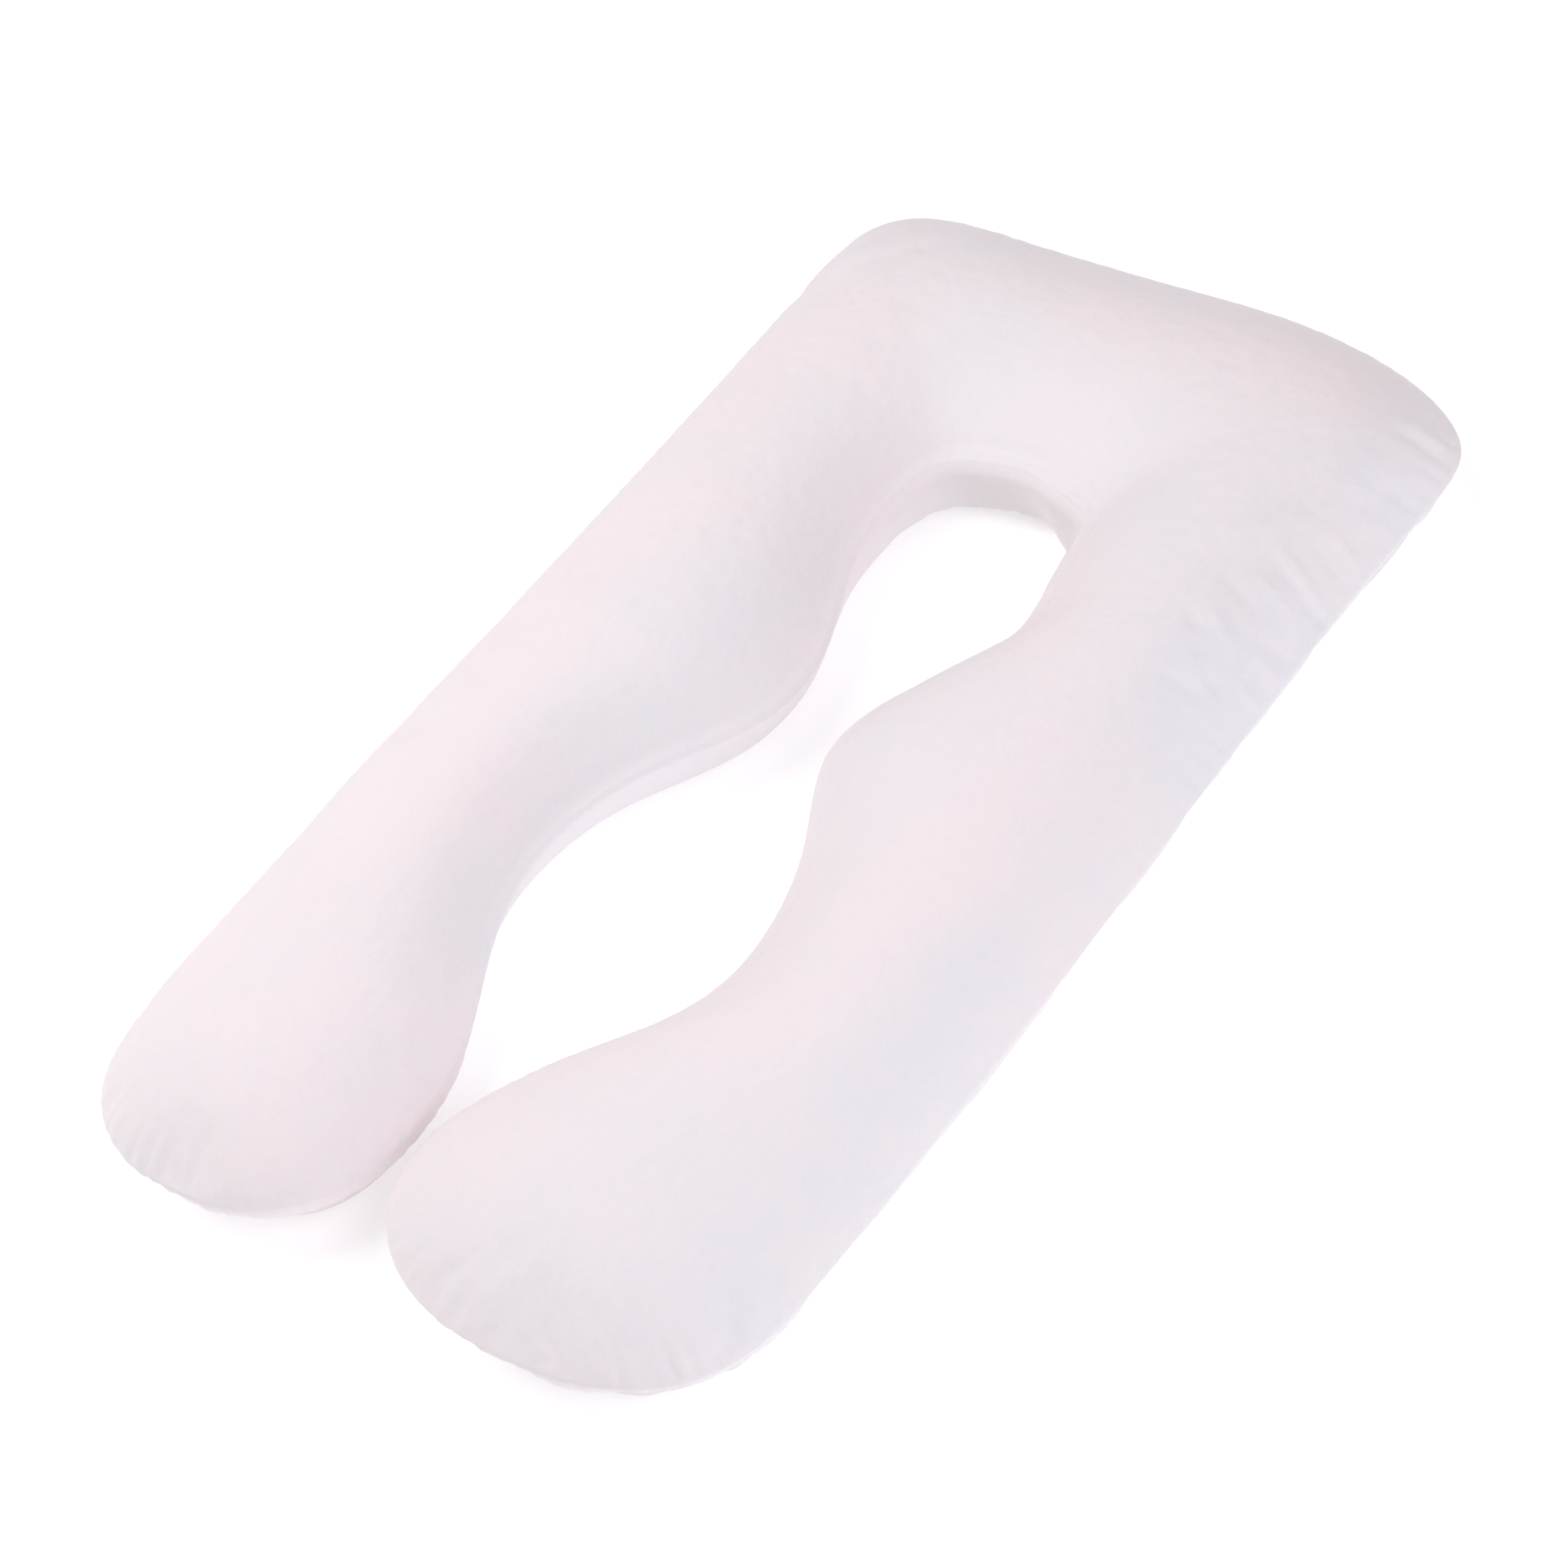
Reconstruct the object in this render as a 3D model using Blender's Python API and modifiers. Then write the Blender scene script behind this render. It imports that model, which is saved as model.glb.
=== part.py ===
"""A U-shaped body pillow: two soft panels sewn together round one edge, filled, lying on its back.

Metres, +Z up. The origin is on the floor under the middle of the pillow. The head end is at +Y, the
two leg ends are at -Y, and the right leg is at +X.
"""

import math
from collections import namedtuple

import bmesh
import bpy
from mathutils import Vector

OUTER_SEAM_HEIGHT = 0.064  # the seam above the floor, all the way round the outside of the U
OUTER_TUCK = 0.050  # how far in from that seam the underside meets the floor

# One row for each section across the filled tube, from the left leg round the head to the right leg.
# Each gives the seam's place on the outside and on the inside of the U, the inner seam's height, how far
# in from the inner seam the underside meets the floor, and the height of the crown between the seams.
Section = namedtuple("Section", "name outer_x outer_y inner_x inner_y inner_height inner_tuck crown")
SECTIONS = (
    Section("left leg end", -0.350, -0.500, -0.036, -0.500, 0.070, 0.052, 0.148),
    Section("left knee", -0.350, -0.400, -0.053, -0.405, 0.070, 0.050, 0.148),
    Section("left belly low", -0.351, -0.295, -0.110, -0.295, 0.074, 0.064, 0.142),
    Section("left belly", -0.354, -0.190, -0.131, -0.195, 0.077, 0.070, 0.140),
    Section("left belly high", -0.355, -0.085, -0.108, -0.090, 0.076, 0.070, 0.142),
    Section("left waist", -0.357, 0.020, -0.043, 0.018, 0.072, 0.066, 0.150),
    Section("left neck", -0.357, 0.130, -0.045, 0.117, 0.073, 0.058, 0.150),
    Section("left hole low", -0.356, 0.245, -0.086, 0.210, 0.077, 0.048, 0.148),
    Section("left hole", -0.356, 0.375, -0.097, 0.290, 0.079, 0.038, 0.148),
    Section("left shoulder", -0.359, 0.500, -0.086, 0.343, 0.080, 0.028, 0.150),
    Section("left corner", -0.357, 0.622, -0.064, 0.363, 0.080, 0.022, 0.150),
    Section("left corner top", -0.280, 0.660, -0.036, 0.373, 0.080, 0.018, 0.150),
    Section("left head", -0.140, 0.659, -0.016, 0.376, 0.080, 0.015, 0.150),
    Section("head middle", 0.000, 0.663, 0.002, 0.376, 0.080, 0.012, 0.150),
    Section("right head", 0.125, 0.668, 0.020, 0.372, 0.080, 0.006, 0.150),
    Section("right corner top", 0.247, 0.646, 0.044, 0.366, 0.080, -0.014, 0.150),
    Section("right corner", 0.340, 0.586, 0.079, 0.352, 0.080, -0.031, 0.150),
    Section("right shoulder", 0.346, 0.495, 0.089, 0.315, 0.079, -0.023, 0.150),
    Section("right hole", 0.344, 0.375, 0.096, 0.263, 0.078, 0.004, 0.148),
    Section("right hole low", 0.347, 0.245, 0.106, 0.190, 0.076, 0.034, 0.148),
    Section("right neck", 0.350, 0.130, 0.050, 0.100, 0.074, 0.045, 0.150),
    Section("right waist", 0.355, 0.020, 0.025, 0.010, 0.072, 0.050, 0.150),
    Section("right belly high", 0.358, -0.085, 0.081, -0.095, 0.074, 0.048, 0.142),
    Section("right belly", 0.360, -0.190, 0.112, -0.200, 0.076, 0.045, 0.140),
    Section("right belly low", 0.361, -0.295, 0.098, -0.295, 0.074, 0.048, 0.142),
    Section("right knee", 0.362, -0.400, 0.013, -0.402, 0.070, 0.050, 0.148),
    Section("right leg end", 0.360, -0.500, -0.028, -0.500, 0.070, 0.050, 0.148),
)
LEFT_TIP = Vector((-0.190, -0.648))
RIGHT_TIP = Vector((0.167, -0.652))
TIP_SQUARENESS = 2.3  # exponent of a leg's rounded end: 2 is an ellipse, more is squarer

# The cage's lines across the top panel, from the seam to the crown.
TopLine = namedtuple("TopLine", "share_in share_up")
TOP_LINES = (TopLine(0.10, 0.20), TopLine(0.30, 0.60), TopLine(0.62, 0.93))
# The same across the underside: how far in, as a share of the tuck and a distance more, and the share of
# the seam's height that is left.
UnderLine = namedtuple("UnderLine", "tuck_share further_in share_left")
UNDER_LINES = (UnderLine(0.35, 0, 0.42), UnderLine(0.62, 0, 0), UnderLine(1, 0.025, 0))

STEPS = 2  # cage sections from one row of the table to the next
TIP_STEPS = 10  # cage sections round a leg's rounded end
SUBDIVISION = 1
SEAM_CREASE = 1.0


def remove_everything():
    for thing in list(bpy.data.objects):
        bpy.data.objects.remove(thing, do_unlink=True)


def between(before, start, end, after, share):
    """A value on the Catmull-Rom curve from start to end."""
    return 0.5 * (
        2 * start
        + (end - before) * share
        + (2 * before - 5 * start + 4 * end - after) * share**2
        + (3 * start - before - 3 * end + after) * share**3
    )


def smooth_section(step):
    """The section at this number of cage steps along the table."""
    last = len(SECTIONS) - 1
    index = min(step // STEPS, last - 1)
    near = [SECTIONS[min(max(index + shift, 0), last)] for shift in (-1, 0, 1, 2)]
    sizes = [
        between(*values, step / STEPS - index) for values in zip(*[row[1:] for row in near])
    ]
    return Section(near[1].name, *sizes)


class SeamPoint:
    """A point of the seam, and the shape of the half section that runs in from it to the crown."""

    def __init__(self, mesh, place, height, tuck):
        self.vertex = mesh.verts.new((*place, height))
        self.place = place
        self.height = height
        self.tuck = tuck
        self.lines = {}

    def run_in(self, mesh, middle, crown, peaks):
        """Adds the vertices of both panels between the seam and the crown line."""
        across = middle - self.place
        top = [self.vertex]
        for line in TOP_LINES:
            height = self.height + (crown - self.height) * line.share_up
            top.append(mesh.verts.new((*(self.place + across * line.share_in), height)))
        under = [self.vertex]
        for line in UNDER_LINES:
            distance = self.tuck * line.tuck_share + line.further_in
            place = self.place + across.normalized() * distance
            under.append(mesh.verts.new((*place, self.height * line.share_left)))
        self.lines = {"top": [*top, peaks["top"]], "under": [*under, peaks["under"]]}


def tip_points(mesh, outer, inner, tip):
    """Seam points round a leg's end, between the outer and the inner one of its last section."""
    middle = (outer.place + inner.place) / 2
    for step in range(1, TIP_STEPS):
        share = step / TIP_STEPS
        angle = math.pi * share
        across = math.copysign(abs(math.cos(angle)) ** (2 / TIP_SQUARENESS), math.cos(angle))
        along = math.sin(angle) ** (2 / TIP_SQUARENESS)
        place = middle + (outer.place - middle) * across + (tip - middle) * along
        height = outer.height + (inner.height - outer.height) * share
        tuck = outer.tuck + (inner.tuck - outer.tuck) * share
        yield SeamPoint(mesh, place, height, tuck)


def join(mesh, row):
    """Faces between each seam point's lines and its neighbour's."""
    for first, second in zip(row, row[1:]):
        for panel in ("top", "under"):
            one, other = first.lines[panel], second.lines[panel]
            for index in range(len(one) - 1):
                corners = (one[index], one[index + 1], other[index + 1], other[index])
                mesh.faces.new(dict.fromkeys(corners))


def build_cage():
    """The coarse closed mesh of the whole pillow, and its seam's vertices."""
    mesh = bmesh.new()
    outer_row, inner_row, middles = [], [], []
    for step in range(STEPS * (len(SECTIONS) - 1) + 1):
        size = smooth_section(step)
        outer = SeamPoint(mesh, Vector((size.outer_x, size.outer_y)), OUTER_SEAM_HEIGHT, OUTER_TUCK)
        inner_place = Vector((size.inner_x, size.inner_y))
        inner = SeamPoint(mesh, inner_place, size.inner_height, size.inner_tuck)
        middle = (outer.place + inner.place) / 2
        peaks = {
            "top": mesh.verts.new((*middle, size.crown)),
            "under": mesh.verts.new((*middle, 0)),
        }
        for point in (outer, inner):
            point.run_in(mesh, middle, size.crown, peaks)
        outer_row.append(outer)
        inner_row.append(inner)
        middles.append((middle, size.crown, peaks))
    join(mesh, outer_row)
    join(mesh, inner_row)
    seam = [*outer_row, *inner_row]
    for end, tip in ((0, LEFT_TIP), (-1, RIGHT_TIP)):
        fan = list(tip_points(mesh, outer_row[end], inner_row[end], tip))
        for point in fan:
            point.run_in(mesh, *middles[end])
        join(mesh, [outer_row[end], *fan, inner_row[end]])
        seam.extend(fan)
    bmesh.ops.recalc_face_normals(mesh, faces=mesh.faces)
    return mesh, {point.vertex for point in seam}


def crease_seam(mesh, seam):
    crease = mesh.edges.layers.float.new("crease_edge")
    for edge in mesh.edges:
        if seam.issuperset(edge.verts):
            edge[crease] = SEAM_CREASE


def fabric_material():
    fabric = bpy.data.materials.new("pillow_fabric")
    fabric.use_nodes = True
    shader = fabric.node_tree.nodes["Principled BSDF"]
    shader.inputs["Base Color"].default_value = (0.90, 0.84, 0.87, 1)
    shader.inputs["Roughness"].default_value = 0.9
    shader.inputs["Metallic"].default_value = 0
    return fabric


def make_pillow(collection):
    cage, seam = build_cage()
    crease_seam(cage, seam)
    data = bpy.data.meshes.new("pillow")
    cage.to_mesh(data)
    cage.free()
    data.shade_smooth()
    data.materials.append(fabric_material())
    pillow = bpy.data.objects.new("pillow", data)
    collection.objects.link(pillow)
    soft = pillow.modifiers.new("soft form", "SUBSURF")
    soft.levels = SUBDIVISION
    soft.render_levels = SUBDIVISION
    return pillow


def centre_over_origin(pillow):
    """Moves the cage so that the finished form's box is centred over the origin."""
    finished = pillow.evaluated_get(bpy.context.evaluated_depsgraph_get())
    for axis in (0, 1):
        places = [vertex.co[axis] for vertex in finished.data.vertices]
        middle = (min(places) + max(places)) / 2
        for vertex in pillow.data.vertices:
            vertex.co[axis] -= middle


def main():
    remove_everything()
    collection = bpy.data.collections.new("body_pillow")
    bpy.context.scene.collection.children.link(collection)
    pillow = make_pillow(collection)
    centre_over_origin(pillow)


main()
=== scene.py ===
"""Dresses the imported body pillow: one filled U of soft pale fabric, sewn round its edge.

Metres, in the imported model's own frame: the head end at +Y, the right leg at +X, the floor at z = 0.
The form comes from the same table of sections as the solid. Its fabric settles as cloth, and then
takes the fine relief that the cloth's mesh is too coarse for.
"""

import math
from collections import namedtuple

import bmesh
import bpy
import numpy as np
from mathutils import Matrix, Vector


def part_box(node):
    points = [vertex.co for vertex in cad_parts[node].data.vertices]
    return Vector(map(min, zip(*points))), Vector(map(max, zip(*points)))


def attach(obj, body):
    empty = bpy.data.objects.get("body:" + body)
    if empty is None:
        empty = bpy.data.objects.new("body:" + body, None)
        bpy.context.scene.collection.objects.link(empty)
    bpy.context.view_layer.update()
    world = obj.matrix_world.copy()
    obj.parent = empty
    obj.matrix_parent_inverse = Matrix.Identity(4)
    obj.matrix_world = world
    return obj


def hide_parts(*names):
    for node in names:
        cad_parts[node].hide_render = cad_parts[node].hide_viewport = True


# ---------------------------------------------------------------- the filled form, as the source has it

OUTER_SEAM_HEIGHT = 0.064
OUTER_TUCK = 0.050
# A section goes from the outer seam to the inner one. A tuck is how far in under its seam the wall
# meets the floor, and the crown is the height halfway between the two seams.
Section = namedtuple("Section", "name outer_x outer_y inner_x inner_y inner_height inner_tuck crown")
SECTIONS = (
    Section("left leg end", -0.350, -0.500, -0.036, -0.500, 0.070, 0.052, 0.148),
    Section("left knee", -0.350, -0.400, -0.053, -0.405, 0.070, 0.050, 0.148),
    Section("left belly low", -0.351, -0.295, -0.110, -0.295, 0.074, 0.064, 0.142),
    Section("left belly", -0.354, -0.190, -0.131, -0.195, 0.077, 0.070, 0.140),
    Section("left belly high", -0.355, -0.085, -0.108, -0.090, 0.076, 0.070, 0.142),
    Section("left waist", -0.357, 0.020, -0.043, 0.018, 0.072, 0.066, 0.150),
    Section("left neck", -0.357, 0.130, -0.045, 0.117, 0.073, 0.058, 0.150),
    Section("left hole low", -0.356, 0.245, -0.086, 0.210, 0.077, 0.048, 0.148),
    Section("left hole", -0.356, 0.375, -0.097, 0.290, 0.079, 0.038, 0.148),
    Section("left shoulder", -0.359, 0.500, -0.086, 0.343, 0.080, 0.028, 0.150),
    Section("left corner", -0.357, 0.622, -0.064, 0.363, 0.080, 0.022, 0.150),
    Section("left corner top", -0.280, 0.660, -0.036, 0.373, 0.080, 0.018, 0.150),
    Section("left head", -0.140, 0.659, -0.016, 0.376, 0.080, 0.015, 0.150),
    Section("head middle", 0.000, 0.663, 0.002, 0.376, 0.080, 0.012, 0.150),
    Section("right head", 0.125, 0.668, 0.020, 0.372, 0.080, 0.006, 0.150),
    Section("right corner top", 0.247, 0.646, 0.044, 0.366, 0.080, -0.014, 0.150),
    Section("right corner", 0.340, 0.586, 0.079, 0.352, 0.080, -0.031, 0.150),
    Section("right shoulder", 0.346, 0.495, 0.089, 0.315, 0.079, -0.023, 0.150),
    Section("right hole", 0.344, 0.375, 0.096, 0.263, 0.078, 0.004, 0.148),
    Section("right hole low", 0.347, 0.245, 0.106, 0.190, 0.076, 0.034, 0.148),
    Section("right neck", 0.350, 0.130, 0.050, 0.100, 0.074, 0.045, 0.150),
    Section("right waist", 0.355, 0.020, 0.025, 0.010, 0.072, 0.050, 0.150),
    Section("right belly high", 0.358, -0.085, 0.081, -0.095, 0.074, 0.048, 0.142),
    Section("right belly", 0.360, -0.190, 0.112, -0.200, 0.076, 0.045, 0.140),
    Section("right belly low", 0.361, -0.295, 0.098, -0.295, 0.074, 0.048, 0.142),
    Section("right knee", 0.362, -0.400, 0.013, -0.402, 0.070, 0.050, 0.148),
    Section("right leg end", 0.360, -0.500, -0.028, -0.500, 0.070, 0.050, 0.148),
)
LEFT_TIP = (-0.190, -0.648)
RIGHT_TIP = (0.167, -0.652)
TIP_SQUARENESS = 2.3
END_STATIONS = 4  # stations beside a leg's end over which its gathers give way to the inner side's roll
TopLine = namedtuple("TopLine", "share_in share_up")
TOP_LINES = (TopLine(0.10, 0.20), TopLine(0.30, 0.60), TopLine(0.62, 0.93))
UnderLine = namedtuple("UnderLine", "tuck_share further_in share_left")
UNDER_LINES = (UnderLine(0.35, 0, 0.42), UnderLine(0.62, 0, 0), UnderLine(1, 0.025, 0))
STEPS = 2  # steps of the form from one section to the next
TIP_STEPS = 10  # steps round a leg's end

# ---------------------------------------------------------------- the mesh that carries the cloth

ALONG = 6  # stations of the fine mesh to one step of the form
TOP_RINGS = 18  # rings from the seam to the crown
CLOSER_BY_SEAM = 1.6  # more than 1 sets the rings closer together near the seam
WALL_RINGS, WALL_SHARE = 10, 0.5  # rings down the wall, over this share of the way to the middle
BASE_RINGS = 4  # rings from there on, across the flat underside
FLOOR_TOUCH = 0.001  # a wall's point this low counts as its foot
FLOOR_HELD = 0.002  # the underside's points this low are held while the cloth settles
BASE_LIFT, BASE_LIFT_WIDTH = 0.009, 0.020  # how the foot of the wall rounds off
DENSE = 96  # samples of a profile before its rings are spaced along it
MARKED = 0.999  # an attribute marks a point with 1, and the others have 0
SEAM_WELD = 2e-6
CROWN_WELD = 0.0017  # closes up the points that crowd together at the middle of a leg's end
FAINT_BEND, FULL_BEND = 1.0, 5.0  # the edge counts as bulging or hollow from one curvature to the other
MOST_STEEP_TUCK = 0.055  # a wall tucked in this far doesn't round out

# ---------------------------------------------------------------- cloth

FRAMES = 30
SEWING_FRAMES = 10  # of them, those in which the flat pattern closes up to the form
VERTEX_MASS = 0.01
PRESSURE = 4.0
SWELL_PASSES = 60  # passes of smoothing that tell the form's swell from its gathers
MOST_SWELL = 0.0025  # how far the form as a whole may swell
MOST_GATHER = 0.005  # how far a gather may stand from the form
HELD_BY_SEAM = 0.022  # how far from the seam the fabric is free to gather in full
CALM_REACH = 0.07  # how far from the inner seam the fabric is taut, with no gathers of its own
GATHER = 0.50  # share of the flat pattern's spare length that the convex edges keep
HEAD_GATHER = 0.35  # how much of that the outer side keeps, where a leg's end keeps all of it
NO_LENGTH = 1e-9  # keeps a length that is divided by off zero


def between(before, start, end, after, share):
    """A value on the Catmull-Rom curve from start to end."""
    return 0.5 * (
        2 * start
        + (end - before) * share
        + (2 * before - 5 * start + 4 * end - after) * share**2
        + (3 * start - before - 3 * end + after) * share**3
    )


def smooth_section(step):
    last = len(SECTIONS) - 1
    index = min(step // STEPS, last - 1)
    near = [SECTIONS[min(max(index + shift, 0), last)] for shift in (-1, 0, 1, 2)]
    sizes = [between(*values, step / STEPS - index) for values in zip(*[row[1:] for row in near])]
    return Section(near[1].name, *sizes)


Station = namedtuple("Station", "place height tuck middle crown")


def fan(outer, inner, tip):
    """Stations round a leg's end, from the outer to the inner one of its last section."""
    for step in range(1, TIP_STEPS):
        share = step / TIP_STEPS
        angle = math.pi * share
        across = math.copysign(abs(math.cos(angle)) ** (2 / TIP_SQUARENESS), math.cos(angle))
        along = math.sin(angle) ** (2 / TIP_SQUARENESS)
        sideways, endways = outer.place - outer.middle, np.array(tip) - outer.middle
        place = outer.middle + sideways * across + endways * along
        yield Station(
            place,
            outer.height + (inner.height - outer.height) * share,
            outer.tuck + (inner.tuck - outer.tuck) * share,
            outer.middle,
            outer.crown,
        )


def stations():
    """The seam's stations, once round: outer side, right leg's end, inner side, left leg's end."""
    outer, inner = [], []
    for step in range(STEPS * (len(SECTIONS) - 1) + 1):
        size = smooth_section(step)
        out_place = np.array((size.outer_x, size.outer_y))
        in_place = np.array((size.inner_x, size.inner_y))
        middle = (out_place + in_place) / 2
        outer.append(Station(out_place, OUTER_SEAM_HEIGHT, OUTER_TUCK, middle, size.crown))
        inner.append(Station(in_place, size.inner_height, size.inner_tuck, middle, size.crown))
    right = list(fan(outer[-1], inner[-1], RIGHT_TIP))
    left = list(fan(outer[0], inner[0], LEFT_TIP))
    return outer + right + inner[::-1] + left[::-1], len(outer)


def control_lines(ring, row_length):
    """Control points of both panels at each station, from just past the seam to just past the crown."""
    tops, unders = [], []
    for station in ring:
        across = station.middle - station.place
        top = [(*station.place, station.height)]
        for line in TOP_LINES:
            height = station.height + (station.crown - station.height) * line.share_up
            top.append((*(station.place + across * line.share_in), height))
        under = [(*station.place, station.height)]
        for line in UNDER_LINES:
            distance = station.tuck * line.tuck_share + line.further_in
            place = station.place + across / np.linalg.norm(across) * distance
            under.append((*place, station.height * line.share_left))
        tops.append([*top, (*station.middle, station.crown)])
        unders.append([*under, (*station.middle, 0)])
    lines = []
    count = len(ring)
    last_inner = 2 * row_length + TIP_STEPS - 2
    for rows in (np.array(tops), np.array(unders)):
        beyond = np.empty((count, 3))
        for index in range(count):
            partner = (last_inner - index) % count
            in_fan = row_length <= index < row_length + TIP_STEPS - 1 or index > last_inner
            if in_fan:
                beyond[index] = (*(2 * rows[index, -1, :2] - rows[index, -2, :2]), rows[index, -2, 2])
            else:
                beyond[index] = rows[partner, -2]
        before = 2 * rows[:, 0] - rows[:, 1]
        lines.append(np.concatenate([before[:, None], rows, beyond[:, None]], axis=1))
    return lines


def spline_weights(share):
    """A uniform cubic B-spline's four weights."""
    return np.array(
        [
            (1 - share) ** 3,
            3 * share**3 - 6 * share**2 + 4,
            -3 * share**3 + 3 * share**2 + 3 * share + 1,
            share**3,
        ]
    ) / 6


def across_matrix(controls):
    """Weights of the control points at each dense sample, from the seam to the crown."""
    spans = controls - 3
    matrix = np.zeros((DENSE, controls))
    for row, at in enumerate(np.linspace(0, spans, DENSE)):
        index = min(int(at), spans - 1)
        matrix[row, index : index + 4] = spline_weights(at - index)
    return matrix


def along_matrix(count):
    matrix = np.zeros((count * ALONG, count))
    for row in range(count * ALONG):
        index, part = divmod(row, ALONG)
        for shift, weight in zip((-1, 0, 1, 2), spline_weights(part / ALONG)):
            matrix[row, (index + shift) % count] += weight
    return matrix


def ring_shares():
    """Shares of a profile's length at each panel's rings, from the seam inwards, the upper first."""
    upper = np.linspace(0, 1, TOP_RINGS + 1) ** CLOSER_BY_SEAM
    wall = np.linspace(0, WALL_SHARE, WALL_RINGS + 1)
    base = np.linspace(WALL_SHARE, 1, BASE_RINGS + 1)
    return upper, np.concatenate([wall, base[1:]])


def spaced(profiles, shares):
    """Each profile's points at the rings, and how far each is from the seam along the fabric."""
    steps = np.linalg.norm(np.diff(profiles, axis=1), axis=2)
    lengths = np.concatenate([np.zeros((len(profiles), 1)), np.cumsum(steps, axis=1)], axis=1)
    points = np.empty((len(profiles), len(shares), 3))
    reach = lengths[:, -1:] * shares
    for index in range(len(profiles)):
        for axis in range(3):
            points[index, :, axis] = np.interp(reach[index], lengths[index], profiles[index, :, axis])
    return points, reach


def round_base(points, reach):
    """Lifts the foot of the wall a little off the floor, as a filled edge lies."""
    touching = np.argmax(points[:, :, 2] < FLOOR_TOUCH, axis=1)
    foot = reach[np.arange(len(reach)), touching]
    points[:, :, 2] += BASE_LIFT * np.exp(-(((reach - foot[:, None]) / BASE_LIFT_WIDTH) ** 2))


def eased(values):
    """The values once round the seam, each averaged over the stations next to it."""
    reach = 2 * ALONG
    kernel = np.hanning(2 * reach + 1)
    padded = np.concatenate([values[-reach:], values, values[:reach]])
    return np.convolve(padded, kernel / kernel.sum(), "valid")


def seam_curvature(seam):
    """Curvature of the seam in plan: positive where the edge bulges, negative where it is hollow."""
    ahead = np.roll(seam, -1, axis=0) - seam
    turn = np.arctan2(ahead[:, 1], ahead[:, 0])
    bend = (np.roll(turn, -1) - turn + math.pi) % (2 * math.pi) - math.pi
    curvature = np.roll(bend, 1) / np.linalg.norm(ahead, axis=1)
    area = np.sum(seam[:, 0] * np.roll(seam[:, 1], -1) - np.roll(seam[:, 0], -1) * seam[:, 1])
    return eased(curvature) * np.sign(area)


def seam_shares(count, row_length):
    """Each station's share of the gathers, full round the legs' ends, and of the inner side's roll."""
    gathered, inside = np.zeros(count), np.zeros(count)
    gathered[:row_length] = HEAD_GATHER
    inner = slice(row_length + TIP_STEPS - 1, 2 * row_length + TIP_STEPS - 1)
    inside[inner] = 1
    for fan_start in (row_length, 2 * row_length + TIP_STEPS - 1):
        gathered[fan_start : fan_start + TIP_STEPS - 1] = 1
    for index in range(END_STATIONS):
        fade = index / END_STATIONS
        for station in (inner.start + index, inner.stop - 1 - index):
            inside[station] = fade
            gathered[station] = 1 - fade
        for station in (index, row_length - 1 - index):
            gathered[station] = max(1 - fade, HEAD_GATHER)
    return gathered, inside


def smoothstep(low, high, values):
    share = np.clip((values - low) / (high - low), 0, 1)
    return share * share * (3 - 2 * share)


def pattern(points, reach, keep):
    """The shape that the cloth would rest in: as long down each profile, with the seam further out."""
    crown_first = points[:, ::-1]
    out = crown_first[:, :, :2] - crown_first[:, :1, :2]
    plan = np.linalg.norm(out, axis=2)
    away = out[:, -1] / plan[:, -1:]
    length = reach[:, -1:] - reach[:, ::-1]
    wide = plan + (length - plan) * keep[:, None]
    run, rise = np.diff(wide, axis=1), np.diff(length, axis=1)
    fall = np.sqrt(np.maximum(rise**2 - run**2, 0)) * np.sign(np.diff(crown_first[:, :, 2], axis=1))
    rest = np.empty_like(crown_first)
    rest[:, :, :2] = crown_first[:, :1, :2] + away[:, None] * wide[:, :, None]
    rest[:, 0, 2] = crown_first[:, 0, 2]
    rest[:, 1:, 2] = rest[:, :1, 2] + np.cumsum(fall, axis=1)
    return rest[:, ::-1]


def add_attribute(mesh, name, values, kind="FLOAT"):
    layer = mesh.attributes.new(name, kind, "POINT")
    key = "vector" if kind == "FLOAT_VECTOR" else "value"
    layer.data.foreach_set(key, np.asarray(values, np.float32).ravel())


def read_attribute(mesh, name, width=1):
    layer = mesh.attributes[name]
    values = np.empty(len(mesh.vertices) * width, np.float32)
    layer.data.foreach_get("vector" if width == 3 else "value", values)
    return values.reshape(-1, width) if width > 1 else values


def positions(mesh):
    values = np.empty(len(mesh.vertices) * 3, np.float32)
    mesh.vertices.foreach_get("co", values)
    return values.reshape(-1, 3).astype(float)


def sheet_faces(start, count, width, sign):
    """The faces between the rings of one sheet whose points start here, facing out of the pillow."""
    for first in range(count):
        second = (first + 1) % count
        for step in range(width - 1):
            corners = [
                start + first * width + step,
                start + second * width + step,
                start + second * width + step + 1,
                start + first * width + step + 1,
            ]
            yield corners[::-sign]


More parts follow.
